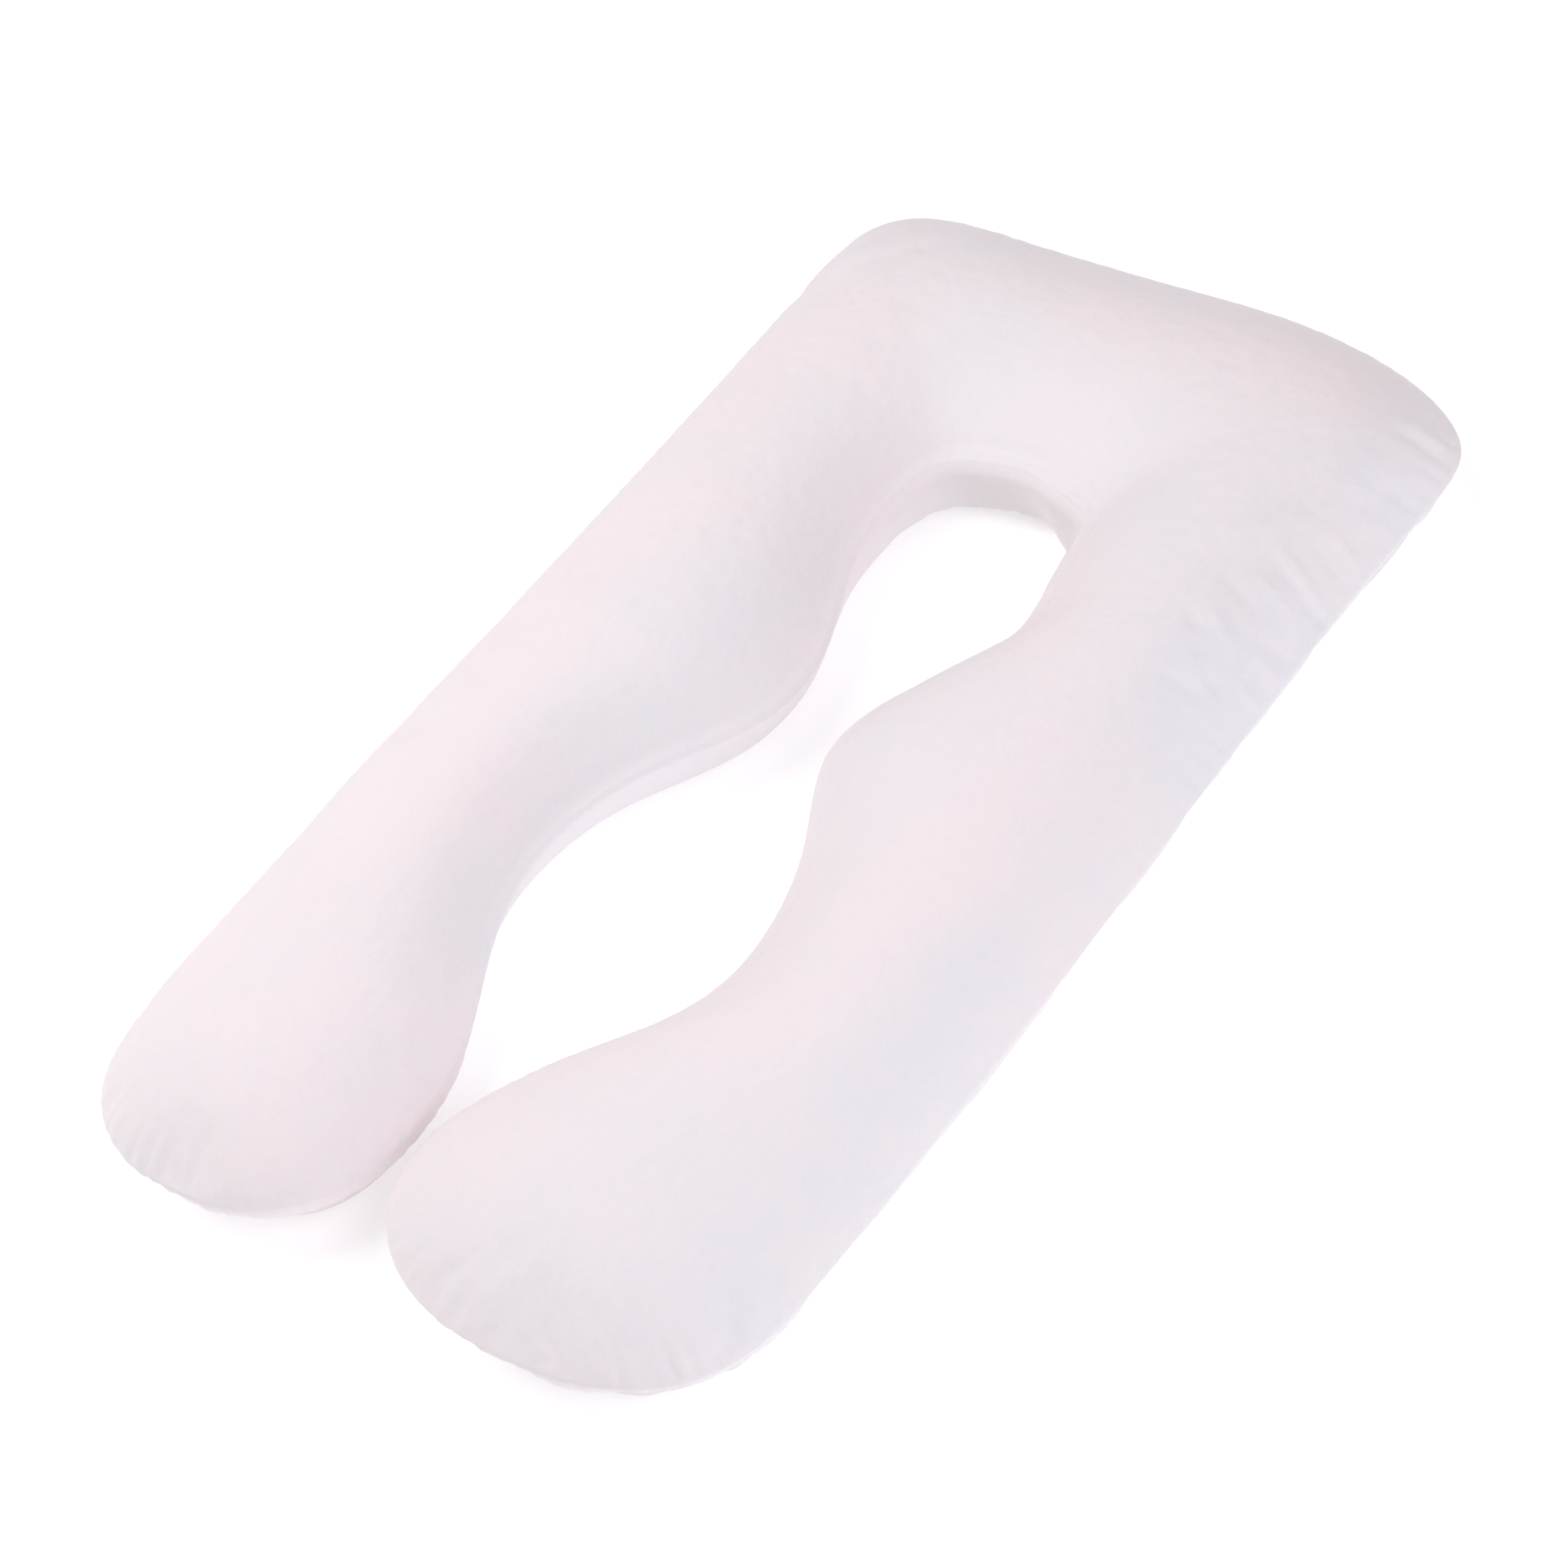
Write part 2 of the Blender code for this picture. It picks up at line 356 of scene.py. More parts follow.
def panel_mesh():
    """Both panels in one mesh, as sheets that meet at the seam, with the cloth's facts on its points."""
    ring, row_length = stations()
    along = along_matrix(len(ring))
    sheets = []
    for lines, rings, sign in zip(control_lines(ring, row_length), ring_shares(), (1, -1)):
        profiles = np.einsum("dc,ucx->udx", across_matrix(lines.shape[1]), lines)
        profiles = np.einsum("fu,udx->fdx", along, profiles)
        sheets.append((*spaced(profiles, rings), sign))
    round_base(*sheets[1][:2])
    seam = sheets[0][0][:, 0]
    bend = seam_curvature(seam[:, :2])
    gathered, inside = seam_shares(len(ring), row_length)
    bulge = eased(smoothstep(FAINT_BEND, FULL_BEND, bend)) * (along @ gathered)
    hollow = smoothstep(FAINT_BEND, FULL_BEND, -bend)
    rolled = (along @ inside) * (STRAIGHT_ROLL + (1 - STRAIGHT_ROLL) * hollow)
    tucks = np.array([station.tuck for station in ring])
    steep = (along @ inside) * np.clip(1 - (along @ tucks) / MOST_STEEP_TUCK, 0, 1)
    walked = np.concatenate([[0], np.cumsum(np.linalg.norm(np.diff(seam, axis=0), axis=1))])
    shares = {
        "along_seam": walked,
        "gathered": along @ gathered,
        "inner": along @ inside,
        "rolled": rolled,
        "steep": steep,
    }
    places, faces = [], []
    facts = {name: [] for name in ("rest", "from_seam", "seam", "crown", *shares)}
    for points, reach, sign in sheets:
        start = sum(len(block) for block in places)
        count, width = points.shape[:2]
        places.append(points.reshape(-1, 3))
        facts["rest"].append(pattern(points, reach, bulge * GATHER).reshape(-1, 3))
        facts["from_seam"].append((reach * sign).ravel())
        ring_number = np.tile(np.arange(width), count)
        facts["seam"].append(ring_number == 0)
        facts["crown"].append(ring_number == width - 1)
        for name, values in shares.items():
            facts[name].append(np.repeat(values, width))
        faces.extend(sheet_faces(start, count, width, sign))
    mesh = bpy.data.meshes.new("pillow_cloth")
    mesh.from_pydata(np.concatenate(places).tolist(), [], faces)
    for name, values in facts.items():
        kind = "FLOAT_VECTOR" if name == "rest" else "FLOAT"
        add_attribute(mesh, name, np.concatenate(values), kind)
    weld(mesh, "crown", CROWN_WELD)
    return mesh


def weld(mesh, attribute, distance):
    """Joins the points that the attribute marks with 1 and that lie this near to each other."""
    work = bmesh.new()
    work.from_mesh(mesh)
    layer = work.verts.layers.float[attribute]
    marked = [vertex for vertex in work.verts if vertex[layer] > MARKED]
    bmesh.ops.remove_doubles(work, verts=marked, dist=distance)
    work.to_mesh(mesh)
    work.free()


def centre_like(mesh, node):
    """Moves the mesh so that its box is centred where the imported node's is, in plan."""
    low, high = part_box(node)
    places = positions(mesh)
    rest = read_attribute(mesh, "rest", 3).astype(float)
    for axis in (0, 1):
        shift = (low[axis] + high[axis]) / 2 - (places[:, axis].min() + places[:, axis].max()) / 2
        places[:, axis] += shift
        rest[:, axis] += shift
    mesh.vertices.foreach_set("co", places.astype(np.float32).ravel())
    mesh.attributes["rest"].data.foreach_set("vector", rest.astype(np.float32).ravel())


def smoothed(mesh, values, still, passes):
    """The values averaged over each point's neighbours, pass by pass, with 0 at the still points."""
    ends = np.empty(len(mesh.edges) * 2, np.int32)
    mesh.edges.foreach_get("vertices", ends)
    first, second = ends.reshape(-1, 2).T
    count = np.bincount(ends, minlength=len(mesh.vertices))[:, None]
    for _ in range(passes):
        total = np.zeros_like(values)
        for axis in range(values.shape[1]):
            total[:, axis] += np.bincount(first, values[second, axis], len(values))
            total[:, axis] += np.bincount(second, values[first, axis], len(values))
        values = (values + total / count) / 2
        values[still] = 0
    return values


def capped(shifts, most):
    """The shifts with their lengths eased off towards the most that they may be."""
    lengths = np.linalg.norm(shifts, axis=1, keepdims=True)
    return shifts * (most * np.tanh(lengths / most) / np.maximum(lengths, NO_LENGTH))


def settle(mesh):
    """Lets the fabric find its gathers, blown up by the filling and held at the seam and the floor."""
    home = positions(mesh)
    from_seam = read_attribute(mesh, "from_seam")
    piece = bpy.data.objects.new("cloth_form", mesh.copy())
    bpy.context.scene.collection.objects.link(piece)
    cut = read_attribute(mesh, "rest", 3)
    piece.data.vertices.foreach_set("co", cut.ravel())
    piece.shape_key_add(name="pattern")
    closing = piece.shape_key_add(name="sewn up")
    closing.data.foreach_set("co", home.astype(np.float32).ravel())
    for frame, share in ((1, 0), (SEWING_FRAMES, 1)):
        closing.value = share
        closing.keyframe_insert("value", frame=frame)
    held = piece.vertex_groups.new(name="held")
    on_seam = read_attribute(mesh, "seam") > 0.5
    still = np.flatnonzero(on_seam | ((home[:, 2] < FLOOR_HELD) & (from_seam < 0)))
    held.add([int(index) for index in still], 1.0, "REPLACE")
    cloth = piece.modifiers.new("filling", "CLOTH")
    fabric = cloth.settings
    fabric.quality = 6
    fabric.mass = VERTEX_MASS
    fabric.tension_stiffness = fabric.compression_stiffness = 15
    fabric.shear_stiffness = 8
    fabric.bending_stiffness = 0.05
    fabric.air_damping = 2
    fabric.vertex_group_mass = "held"
    fabric.use_pressure = True
    fabric.uniform_pressure_force = PRESSURE
    fabric.effector_weights.gravity = 0
    cloth.collision_settings.use_collision = False
    cloth.point_cache.frame_start, cloth.point_cache.frame_end = 1, FRAMES
    for frame in range(1, FRAMES + 1):
        bpy.context.scene.frame_set(frame)
    done = piece.evaluated_get(bpy.context.evaluated_depsgraph_get())
    moved = positions(done.data)
    bpy.context.scene.frame_set(1)
    bpy.data.objects.remove(piece, do_unlink=True)
    shift = moved - home
    swell = smoothed(mesh, shift, still, SWELL_PASSES)
    gathers = shift - swell
    means = [np.linalg.norm(part, axis=1).mean() * 1e3 for part in (swell, gathers)]
    print("cloth: swell %.2f mm, gathers %.2f mm" % tuple(means))
    swell, gathers = capped(swell, MOST_SWELL), capped(gathers, MOST_GATHER)
    calm = read_attribute(mesh, "inner") * (1 - smoothstep(CALM_REACH, 2 * CALM_REACH, from_seam))
    free = (1 - calm) * smoothstep(0, HELD_BY_SEAM, np.abs(from_seam))
    shift = swell + gathers * free[:, None]
    mesh.vertices.foreach_set("co", (home + shift).astype(np.float32).ravel())


def sewn(mesh):
    """Joins the two sheets at the seam and refines the whole once, keeping the seam's line."""
    weld(mesh, "seam", SEAM_WELD)
    work = bmesh.new()
    work.from_mesh(mesh)
    layer = work.verts.layers.float["seam"]
    crease = work.edges.layers.float.new("crease_edge")
    for edge in work.edges:
        if all(vertex[layer] > MARKED for vertex in edge.verts):
            edge[crease] = 1
    bmesh.ops.recalc_face_normals(work, faces=work.faces)
    work.to_mesh(mesh)
    work.free()
    piece = bpy.data.objects.new("fine_form", mesh)
    bpy.context.scene.collection.objects.link(piece)
    soft = piece.modifiers.new("soft form", "SUBSURF")
    soft.levels = soft.render_levels = 1
    fine = bpy.data.meshes.new_from_object(piece.evaluated_get(bpy.context.evaluated_depsgraph_get()))
    bpy.data.objects.remove(piece, do_unlink=True)
    return fine


# ---------------------------------------------------------------- relief, too fine for the cloth mesh

SEAM_GROOVE, SEAM_GROOVE_WIDTH = 0.0008, 0.0022
STRAIGHT_ROLL = 0.6  # how much of the roll there is where the edge isn't hollow
ROLL_HEIGHT, ROLL_IN, ROLL_WIDTH = 0.0032, 0.0060, 0.0055  # the padded roll beside a hollow seam
WALL_SWELL, WALL_TOP, WALL_FOOT = 0.006, 0.022, 0.080  # how the inner wall rounds out, below the seam
VALLEY_DEPTH, VALLEY_IN, VALLEY_WIDTH = 0.0020, 0.0190, 0.0085  # the dip just inside the roll
TAUT_DEPTH, TAUT_DOWN, TAUT_WIDTH = 0.0075, 0.0440, 0.0210  # how the outer wall draws in under the seam
CREASE_FROM, CREASE_FULL = 0.002, 0.012  # how far from the seam the creases start

PUCKER_SEED = 11
PUCKER_REACH = 0.042  # how far in from the seam the puckers fade out
PUCKER_START = 0.007  # how far from the seam they are there in full, so that its own line stays smooth
Pucker = namedtuple("Pucker", "spacing height")
PUCKERS = (Pucker(0.022, 0.0011), Pucker(0.0155, 0.0009))
PUCKERS_ALL_ROUND = 0.15  # how much of them there is even where the seam isn't gathered
PUCKER_PATCH = 0.085  # length of seam over which the puckers come and go
FAINTEST_PATCH = 0.1  # share of their height where they are least
PUCKER_DRIFT = 2.2  # how far a patch shifts them along the seam, in radians of their wave

# Creases in the upper panel: ridges where height is positive, and troughs.
Crease = namedtuple("Crease", "name start_x start_y end_x end_y height width")
CREASES = (
    Crease("right side, high ridge", 0.286, 0.348, 0.332, 0.337, 0.0024, 0.0055),
    Crease("right side, high trough", 0.296, 0.331, 0.330, 0.324, -0.0020, 0.0045),
    Crease("right side, ridge", 0.292, 0.310, 0.324, 0.303, 0.0026, 0.0060),
    Crease("right side, dimple", 0.334, 0.324, 0.352, 0.327, -0.0040, 0.0060),
    Crease("right side, middle trough", 0.270, 0.288, 0.312, 0.277, -0.0022, 0.0065),
    Crease("right side, low ridge", 0.276, 0.256, 0.314, 0.232, 0.0026, 0.0060),
    Crease("right side, low dimple", 0.268, 0.237, 0.284, 0.226, -0.0028, 0.0055),
    Crease("right side, low spot", 0.308, 0.200, 0.322, 0.190, -0.0030, 0.0050),
    Crease("right side, lowest ridge", 0.290, 0.205, 0.302, 0.182, 0.0018, 0.0060),
    Crease("right side, lowest trough", 0.280, 0.168, 0.318, 0.177, -0.0024, 0.0055),
    Crease("right side, faint ridge", 0.312, 0.396, 0.342, 0.391, 0.0018, 0.0055),
    Crease("right side, faint trough", 0.306, 0.376, 0.336, 0.368, -0.0016, 0.0060),
    Crease("right side, lower rim ridge", 0.326, 0.216, 0.351, 0.212, 0.0024, 0.0055),
    Crease("right side, rim ridge", 0.320, 0.244, 0.350, 0.249, 0.0020, 0.0055),
    Crease("right side, rim trough", 0.322, 0.266, 0.350, 0.272, -0.0020, 0.0065),
    Crease("right corner, trough", 0.300, 0.530, 0.338, 0.546, -0.0026, 0.0065),
    Crease("right corner, ridge", 0.292, 0.546, 0.330, 0.560, 0.0020, 0.0075),
    Crease("right shoulder, long fold", 0.246, 0.318, 0.296, 0.392, 0.0034, 0.0200),
    Crease("right shoulder, far fold", 0.296, 0.400, 0.298, 0.500, 0.0034, 0.0220),
    Crease("left corner, hump", -0.296, 0.480, -0.272, 0.540, 0.0040, 0.0180),
    Crease("left corner, fold", -0.262, 0.500, -0.215, 0.560, -0.0024, 0.0120),
    Crease("left side, low dip", -0.322, -0.300, -0.262, -0.322, -0.0042, 0.0280),
    Crease("left side, middle dip", -0.326, -0.150, -0.272, -0.176, -0.0042, 0.0260),
    Crease("left side, high dip", -0.326, 0.000, -0.272, -0.034, -0.0036, 0.0280),
    Crease("left leg, end dip", -0.196, -0.650, -0.186, -0.600, -0.0045, 0.0180),
    Crease("left belly, hollow", -0.118, -0.060, -0.160, -0.240, -0.0050, 0.0420),
)
CREASE_ENDS = 0.7  # how much of a crease's height is gone at its ends


def hump(values, middle, width):
    return np.exp(-(((values - middle) / width) ** 2))


def crease_lift(places, crease):
    start, end = np.array((crease.start_x, crease.start_y)), np.array((crease.end_x, crease.end_y))
    run = end - start
    share = np.clip((places[:, :2] - start) @ run / (run @ run), 0, 1)
    off = np.linalg.norm(places[:, :2] - start - share[:, None] * run, axis=1)
    height = crease.height * (1 - CREASE_ENDS * (2 * share - 1) ** 2)
    return height * hump(off, 0, crease.width)


def pucker_lift(along_seam, from_seam):
    """Small puckers that the stitching draws up beside the seam, stronger in some stretches."""
    draw = np.random.default_rng(PUCKER_SEED)
    length = along_seam.max()
    patches = round(length / PUCKER_PATCH)
    knots = np.arange(patches + 1) * length / patches
    lift = np.zeros_like(along_seam)
    for pucker in PUCKERS:
        strength = draw.uniform(FAINTEST_PATCH, 1, patches)
        drift = draw.uniform(-PUCKER_DRIFT, PUCKER_DRIFT, patches)
        strong = np.interp(along_seam, knots, [*strength, strength[0]])
        turned = np.interp(along_seam, knots, [*drift, drift[0]])
        waves = round(length / pucker.spacing) * 2 * math.pi / length
        hills = np.abs(np.sin((along_seam * waves + turned) / 2)) - 2 / math.pi
        lift += 2 * pucker.height * strong * hills
    lift *= smoothstep(0, PUCKER_START, np.abs(from_seam))
    return lift * hump(from_seam, 0, PUCKER_REACH)


def wall_swell(down):
    """How far the inner wall stands out this far down from the seam, as a share: a rounded shoulder."""
    shoulder = np.sqrt(np.clip(1 - (1 - down / WALL_TOP) ** 2, 0, 1))
    return np.where(down < WALL_TOP, shoulder, 1 - smoothstep(WALL_TOP, WALL_FOOT, down))


def relief(mesh):
    """Presses the seam in, raises the roll beside it along the inner side, and adds the creases."""
    places = positions(mesh)
    normals = np.empty(len(mesh.vertices) * 3, np.float32)
    mesh.vertex_normals.foreach_get("vector", normals)
    normals = normals.reshape(-1, 3).astype(float)
    from_seam = read_attribute(mesh, "from_seam").astype(float)
    along_seam = read_attribute(mesh, "along_seam").astype(float)
    rolled = read_attribute(mesh, "rolled").astype(float)
    gathered = read_attribute(mesh, "gathered").astype(float)
    outer = 1 - read_attribute(mesh, "inner").astype(float)
    puckered = PUCKERS_ALL_ROUND + (1 - PUCKERS_ALL_ROUND) * gathered
    swollen = np.where(from_seam < 0, wall_swell(-from_seam), 0)
    lift = -SEAM_GROOVE * hump(from_seam, 0, SEAM_GROOVE_WIDTH)
    lift += rolled * ROLL_HEIGHT * hump(from_seam, ROLL_IN, ROLL_WIDTH)
    lift -= rolled * VALLEY_DEPTH * hump(from_seam, VALLEY_IN, VALLEY_WIDTH)
    lift += puckered * pucker_lift(along_seam, from_seam)
    lift += read_attribute(mesh, "steep") * WALL_SWELL * swollen
    lift -= outer * TAUT_DEPTH * hump(from_seam, -TAUT_DOWN, TAUT_WIDTH)
    upper = smoothstep(CREASE_FROM, CREASE_FULL, from_seam)
    for crease in CREASES:
        lift += upper * crease_lift(places, crease)
    places += normals * lift[:, None]
    places[:, 2] = np.maximum(places[:, 2], 0)
    mesh.vertices.foreach_set("co", places.astype(np.float32).ravel())
    mesh.update()


# How much pinker or greyer the fabric looks, in patches. Partly this is tone that differs from patch to
# patch, where the pile was brushed one way or the other. Partly it is painted shade: the greyer patches
# down the right side, in the left belly's hollow and beside the head hole.
NapAndShadePatch = namedtuple("NapAndShadePatch", "name x y reach_x reach_y pinker")
NAP_AND_SHADE_PATCHES = (
    NapAndShadePatch("left arm", -0.270, 0.100, 0.070, 0.260, 0.45),
    NapAndShadePatch("left knee", -0.250, -0.280, 0.070, 0.150, 0.40),
    NapAndShadePatch("left leg's end", -0.170, -0.500, 0.090, 0.080, 0.50),
    NapAndShadePatch("left belly", -0.110, -0.150, 0.070, 0.190, -0.60),
    NapAndShadePatch("left shoulder", -0.230, 0.430, 0.090, 0.080, 0.30),
    NapAndShadePatch("left of the hole", -0.100, 0.400, 0.050, 0.080, -0.55),
    NapAndShadePatch("head", 0.120, 0.560, 0.170, 0.070, 0.50),
    NapAndShadePatch("right of the hole", 0.130, 0.370, 0.060, 0.060, -0.20),
    NapAndShadePatch("right neck", 0.180, 0.140, 0.070, 0.110, 0.45),
    NapAndShadePatch("right waist", 0.120, -0.030, 0.050, 0.060, -0.35),
    NapAndShadePatch("right belly", 0.250, -0.080, 0.060, 0.120, 0.45),
    NapAndShadePatch("right knee", 0.190, -0.320, 0.070, 0.090, 0.40),
    NapAndShadePatch("right leg's end", 0.210, -0.560, 0.120, 0.060, -0.35),
    NapAndShadePatch("right side, low", 0.330, -0.320, 0.050, 0.250, -0.60),
    NapAndShadePatch("right side, high", 0.320, 0.180, 0.060, 0.180, -0.60),
    NapAndShadePatch("right corner", 0.320, 0.480, 0.040, 0.090, -0.50),
)
PAINTED_WALL_SHADE = 0.9  # painted shade: how far the head hole's steep wall is darkened, as it lies in shade
PAINTED_WALL_SHADE_FROM = 0.014  # how far below the seam the painted shade is full
TONE_MIDDLE = 0.5  # halfway between greyer and pinker


def mark_tone_and_shade(mesh):
    """Marks how pink each point looks, from 0 to 1, partly as patchy tone and partly as painted shade, and
    how far painted shade darkens the head hole's steep wall.
    """
    places = positions(mesh)
    tone = np.full(len(places), TONE_MIDDLE)
    for patch in NAP_AND_SHADE_PATCHES:
        near = hump(places[:, 0], patch.x, patch.reach_x) * hump(places[:, 1], patch.y, patch.reach_y)
        tone += patch.pinker * near
    # Partly patchy tone, and partly painted shade in the greyer patches.
    add_attribute(mesh, "nap_and_painted_shade", np.clip(tone, 0, 1))
    # Painted shade on the head hole's steep wall, below the seam.
    down = np.maximum(-read_attribute(mesh, "from_seam"), 0)
    wall_shaded = read_attribute(mesh, "steep") * smoothstep(0, PAINTED_WALL_SHADE_FROM, down)
    add_attribute(mesh, "painted_wall_shade", PAINTED_WALL_SHADE * wall_shaded)


def node(tree, kind, **inputs):
    made = tree.nodes.new(kind)
    for name, value in inputs.items():
        made.inputs[name.replace("_", " ")].default_value = value
    return made


# The greyer colour is partly painted shade, where the greyer patches stand for shade.
PINKER = (0.866, 0.774, 0.790, 1)
GREYER = (0.796, 0.766, 0.798, 1)
# Painted shade: the colour that the head hole's steep wall is darkened towards.
WALL_SHADE_COLOUR = (0.690, 0.655, 0.655, 1)
BROAD_SHARE, BRUSH_SHARE = 0.30, 0.22  # how far the clouds and the streaks shift the tone
BRUSH_SCALE = (110, 34, 110)  # waves to a metre: fine streaks that lie along the nap
BRUSH_TURN = 18  # degrees
NOISE_RANGE = {"From_Min": 0.3, "From_Max": 0.7}  # most of what a noise texture gives


def tone_and_shade_colour(tree, place):
    """Pinker or greyer in patches, clouds and streaks, with painted shade in some greyer patches, and
    darker on the head hole's steep wall as painted shade.
    """
    nap_and_painted_shade = tree.nodes.new("ShaderNodeAttribute")
    nap_and_painted_shade.attribute_name = "nap_and_painted_shade"
    broad = node(tree, "ShaderNodeTexNoise", Scale=7.0, Detail=2.0, Roughness=0.5)
    brushed = node(tree, "ShaderNodeTexNoise", Scale=1.0, Detail=3.0, Roughness=0.6)
    turned = (0, 0, math.radians(BRUSH_TURN))
    stretched = node(tree, "ShaderNodeMapping", Scale=BRUSH_SCALE, Rotation=turned)
    tree.links.new(place, broad.inputs["Vector"])
    tree.links.new(place, stretched.inputs["Vector"])
    tree.links.new(stretched.outputs["Vector"], brushed.inputs["Vector"])
    tone = nap_and_painted_shade.outputs["Fac"]
    for texture, strength in ((broad, BROAD_SHARE), (brushed, BRUSH_SHARE)):
        swing = node(tree, "ShaderNodeMapRange", To_Min=-strength, To_Max=strength, **NOISE_RANGE)
        tree.links.new(texture.outputs["Fac"], swing.inputs["Value"])
        added = tree.nodes.new("ShaderNodeMath")
        tree.links.new(tone, added.inputs[0])
        tree.links.new(swing.outputs["Result"], added.inputs[1])
        tone = added.outputs["Value"]
    tint = tree.nodes.new("ShaderNodeMix")
    tint.data_type = "RGBA"
    tint.inputs["A"].default_value = GREYER
    tint.inputs["B"].default_value = PINKER
    tree.links.new(tone, tint.inputs["Factor"])
    # Painted shade: darkens the head hole's steep wall.
    wall_shade_mask = tree.nodes.new("ShaderNodeAttribute")
    wall_shade_mask.attribute_name = "painted_wall_shade"
    darker = tree.nodes.new("ShaderNodeMix")
    darker.data_type = "RGBA"
    darker.inputs["B"].default_value = WALL_SHADE_COLOUR
    tree.links.new(wall_shade_mask.outputs["Fac"], darker.inputs["Factor"])
    tree.links.new(tint.outputs["Result"], darker.inputs["A"])
    return darker.outputs["Result"]


def pile_bump(tree, place):
    """The pile's own grain, on a softer unevenness."""
    pile = node(tree, "ShaderNodeTexNoise", Scale=700.0, Detail=3.0, Roughness=0.6)
    soft = node(tree, "ShaderNodeTexNoise", Scale=55.0, Detail=2.0, Roughness=0.5)
    for texture in (pile, soft):
        tree.links.new(place, texture.inputs["Vector"])
    fine = node(tree, "ShaderNodeBump", Strength=0.35, Distance=0.0006)
    tree.links.new(pile.outputs["Fac"], fine.inputs["Height"])
    wide = node(tree, "ShaderNodeBump", Strength=0.45, Distance=0.0030)
    tree.links.new(soft.outputs["Fac"], wide.inputs["Height"])
    tree.links.new(fine.outputs["Normal"], wide.inputs["Normal"])
    return wide.outputs["Normal"]


def fabric_material():
    fabric = bpy.data.materials.new("pillow_fabric_soft")
    fabric.use_nodes = True
    tree = fabric.node_tree
    shader = tree.nodes["Principled BSDF"]
    shader.inputs["Roughness"].default_value = 0.85
    shader.inputs["Specular IOR Level"].default_value = 0.25
    shader.inputs["Sheen Weight"].default_value = 0.30
    shader.inputs["Sheen Roughness"].default_value = 0.45
    shader.inputs["Sheen Tint"].default_value = (1, 0.97, 0.985, 1)
    place = tree.nodes.new("ShaderNodeTexCoord").outputs["Object"]
    tree.links.new(tone_and_shade_colour(tree, place), shader.inputs["Base Color"])
    tree.links.new(pile_bump(tree, place), shader.inputs["Normal"])
    return fabric


# ---------------------------------------------------------------- camera and studio

AZIMUTH, ELEVATION, ROLL = 46.97, 45.05, -15.41  # degrees: where the camera looks from, and its roll
TARGET = Vector((0.02087, -0.05004, 0.08))
DISTANCE = 4.223
FOCAL_PIXELS, PICTURE_PIXELS, SENSOR = 5959.66, 1932, 36.0  # the photo's, and a sensor in millimetres

FLOOR_GLOW = 0.30  # the floor's own light, as the photo's ground is plain white
FLOOR_SIZE, FLOOR_GAP = 40.0, 0.0005
WORLD_COLOUR, WORLD_STRENGTH = (0.985, 0.98, 1.0, 1), 0.48
LIT_HEIGHT = 0.1  # every lamp aims at this height over the middle of the floor
Lamp = namedtuple("Lamp", "name place size power colour")
LAMPS = (
    Lamp("top", (-0.6, -0.4, 2.9), 1.8, 20, (1.0, 0.985, 0.98)),
    Lamp("left", (-2.1, -0.6, 1.75), 1.4, 25, (1.0, 0.985, 0.99)),
    Lamp("fill", (2.4, -0.5, 1.8), 2.2, 32, (0.955, 0.945, 1.0)),
)


def make_camera():
    turn, lift, roll = math.radians(AZIMUTH), math.radians(ELEVATION), math.radians(ROLL)
    back = Vector((math.sin(turn) * math.cos(lift), -math.cos(turn) * math.cos(lift), math.sin(lift)))
    level = (-back).cross(Vector((0, 0, 1))).normalized()
    upright = level.cross(-back)
    right = level * math.cos(roll) + upright * math.sin(roll)
    up = upright * math.cos(roll) - level * math.sin(roll)
    lens = bpy.data.cameras.new("camera")
    lens.sensor_width = SENSOR
    lens.lens = FOCAL_PIXELS * SENSOR / PICTURE_PIXELS
    holder = bpy.data.objects.new("camera", lens)
    turned = Matrix((right, up, back)).transposed().to_4x4()
    holder.matrix_world = Matrix.Translation(TARGET + back * DISTANCE) @ turned
    bpy.context.scene.collection.objects.link(holder)
    bpy.context.scene.camera = holder


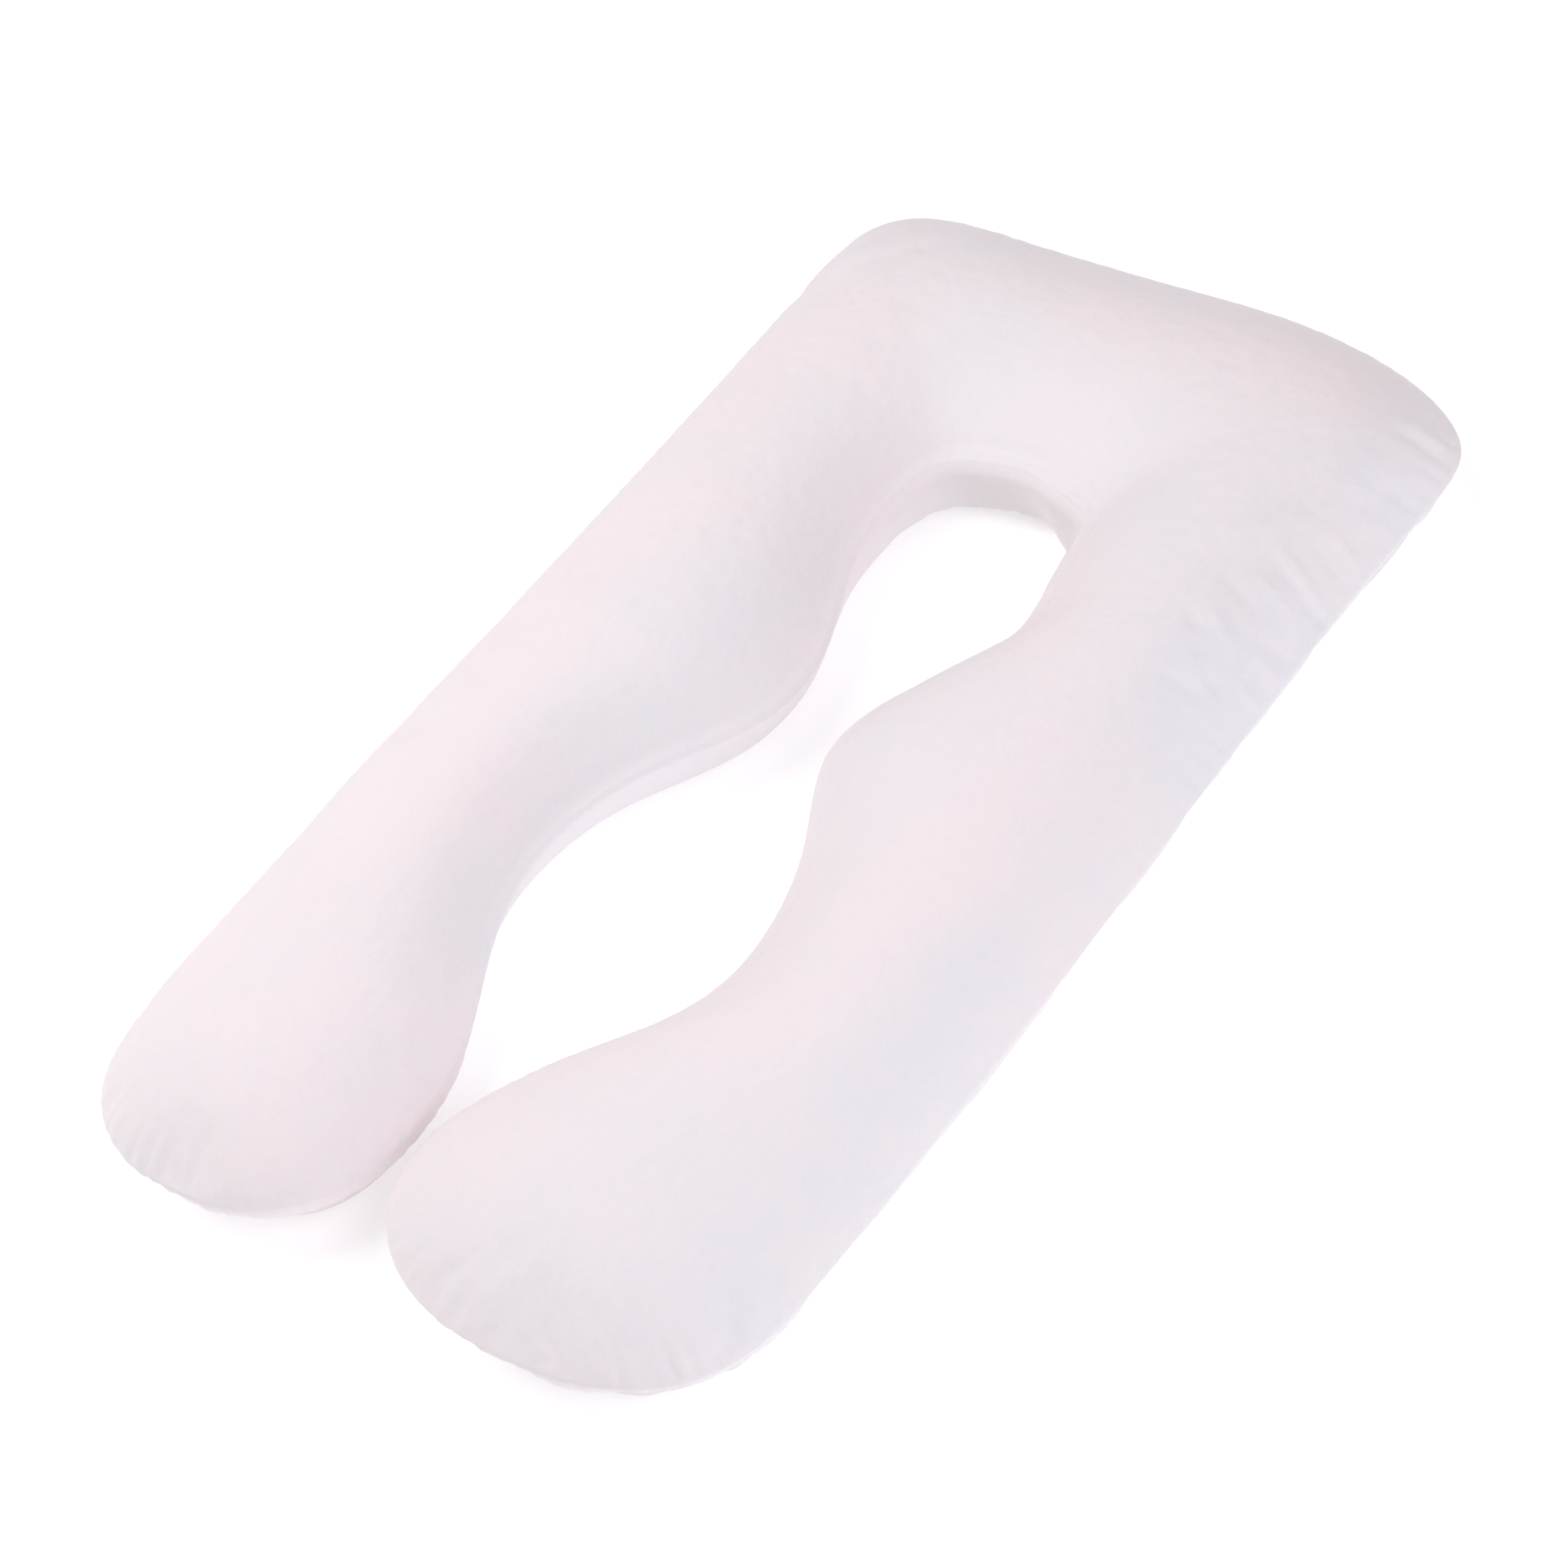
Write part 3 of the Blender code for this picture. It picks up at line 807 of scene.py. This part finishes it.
def floor_material():
    paper = bpy.data.materials.new("studio_floor")
    paper.use_nodes = True
    shader = paper.node_tree.nodes["Principled BSDF"]
    shader.inputs["Base Color"].default_value = (0.94, 0.94, 0.94, 1)
    shader.inputs["Roughness"].default_value = 0.9
    shader.inputs["Specular IOR Level"].default_value = 0.1
    shader.inputs["Emission Color"].default_value = (1, 1, 1, 1)
    shader.inputs["Emission Strength"].default_value = FLOOR_GLOW
    return paper


def hang(lamp):
    light = bpy.data.lights.new(lamp.name, "AREA")
    light.shape, light.size, light.energy, light.color = "DISK", lamp.size, lamp.power, lamp.colour
    holder = bpy.data.objects.new(lamp.name, light)
    holder.location = lamp.place
    aim = Vector((0, 0, LIT_HEIGHT)) - Vector(lamp.place)
    holder.rotation_euler = aim.to_track_quat("-Z", "Y").to_euler()
    bpy.context.scene.collection.objects.link(holder)


def make_studio():
    bpy.ops.mesh.primitive_plane_add(size=FLOOR_SIZE, location=(0, 0, -FLOOR_GAP))
    floor = bpy.context.object
    floor.name = "floor"
    floor.data.materials.append(floor_material())
    world = bpy.data.worlds.new("studio")
    bpy.context.scene.world = world
    world.use_nodes = True
    background = world.node_tree.nodes["Background"]
    background.inputs["Color"].default_value = WORLD_COLOUR
    background.inputs["Strength"].default_value = WORLD_STRENGTH
    for lamp in LAMPS:
        hang(lamp)
    bpy.context.scene.view_settings.view_transform = "Standard"


def make_pillow():
    mesh = panel_mesh()
    centre_like(mesh, "pillow")
    settle(mesh)
    fine = sewn(mesh)
    fine.name = "body_pillow_cover"
    relief(fine)
    mark_tone_and_shade(fine)
    fine.shade_smooth()
    fine.materials.clear()
    fine.materials.append(fabric_material())
    piece = bpy.data.objects.new("body_pillow_cover", fine)
    bpy.context.scene.collection.objects.link(piece)
    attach(piece, "root")
    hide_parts("pillow")
    print("cover has", sum(len(face.vertices) - 2 for face in fine.polygons), "triangles")


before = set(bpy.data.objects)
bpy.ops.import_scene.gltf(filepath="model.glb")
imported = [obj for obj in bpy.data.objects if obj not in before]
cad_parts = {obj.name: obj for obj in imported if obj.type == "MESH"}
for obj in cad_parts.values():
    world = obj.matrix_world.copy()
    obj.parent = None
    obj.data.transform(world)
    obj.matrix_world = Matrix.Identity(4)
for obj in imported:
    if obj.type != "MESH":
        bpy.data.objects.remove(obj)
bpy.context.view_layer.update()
make_pillow()
make_camera()
make_studio()
